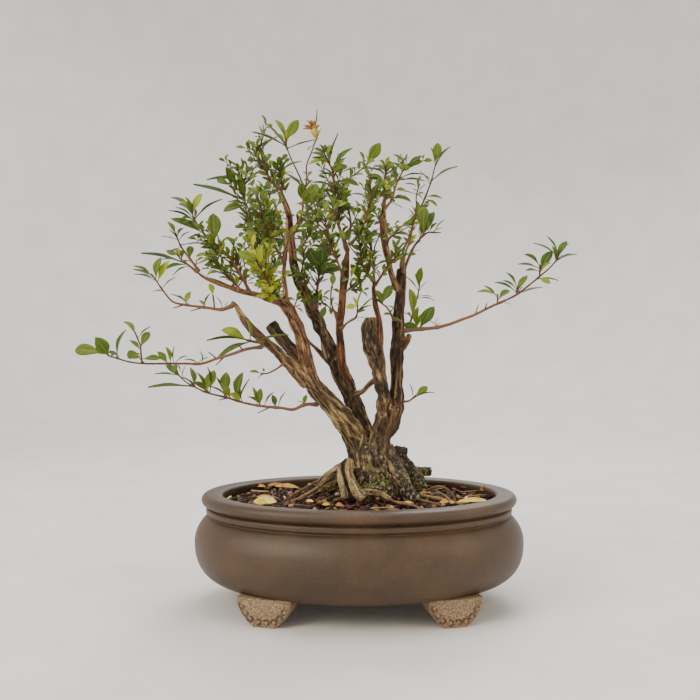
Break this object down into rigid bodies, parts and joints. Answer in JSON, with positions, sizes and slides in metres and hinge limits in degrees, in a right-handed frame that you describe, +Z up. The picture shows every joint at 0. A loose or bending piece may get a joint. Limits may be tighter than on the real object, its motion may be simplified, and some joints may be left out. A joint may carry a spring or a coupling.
{
  "type": "pomegranate bonsai",
  "caption": "Dwarf pomegranate bonsai with stubbed limbs, leafy shoots and a dry flower, in soil in an oval unglazed clay pot on cloud-scroll feet.",
  "frame": {"origin": "on the surface the pot stands on, under the middle of the whole tree's box", "axes": "+Z up, +X along the pot's length to the right as seen from the front, +Y to the back"},
  "size_m": [0.2846, 0.148, 0.2993],
  "materials": {
    "pot_clay": "unglazed brown fired clay, raw pinkish-beige clay on the feet",
    "screen_plastic": "black plastic mesh",
    "potting_soil": "damp bark soil with tan pebbles",
    "bark": "fissured grey-brown bark",
    "dry_flower": "withered, papery",
    "dry_leaf": "dry yellow leaf",
    "foliage": "satin green leaves on red-brown twigs"
  },
  "bodies": {
    "root": {"pot": "pot_clay", "drain_screen_left": "screen_plastic", "drain_screen_right": "screen_plastic", "soil": "potting_soil", "trunk": "bark", "dry_flower": "dry_flower", "fallen_leaf_1": "dry_leaf", "fallen_leaf_2": "dry_leaf", "fallen_leaf_3": "dry_leaf", "fallen_leaf_4": "dry_leaf", "far_left_shoot": "foliage", "upper_left_fork_shoot": "foliage", "left_fork_shoot": "foliage", "high_left_shoot": "foliage", "left_inner_shoot": "foliage", "left_crown_shoot": "foliage", "crown_peak_left_shoot": "foliage", "crown_peak_shoot": "foliage", "tall_thin_shoot": "foliage", "flower_shoot": "foliage", "crown_middle_shoot": "foliage", "big_leaf_shoot": "foliage", "middle_right_shoot": "foliage", "right_crown_shoot": "foliage", "right_fan_shoot": "foliage", "right_tip_shoot": "foliage", "right_small_shoot": "foliage", "red_right_shoot": "foliage", "whorl_left_shoot": "foliage", "whorl_middle_shoot": "foliage", "whorl_right_shoot": "foliage", "arched_leaf_shoot": "foliage", "right_inner_shoot": "foliage", "low_right_inner_shoot": "foliage", "bright_shoot": "foliage", "left_of_upright_shoot": "foliage", "broad_leaf_shoot": "foliage", "round_leaf_shoot": "foliage", "dark_twig_shoot": "foliage", "stick_end_shoot": "foliage", "bright_inner_left_shoot": "foliage", "red_inner_left_shoot": "foliage", "front_left_crown_shoot": "foliage", "back_left_crown_shoot": "foliage", "back_middle_shoot": "foliage", "front_middle_shoot": "foliage", "back_right_crown_shoot": "foliage", "fork_leaf_shoot": "foliage", "low_left_long_shoot": "foliage", "second_low_left_shoot": "foliage", "short_low_shoot": "foliage", "long_right_shoot": "foliage", "right_standing_shoot": "foliage", "low_right_twig": "foliage"}
  },
  "joints": []
}
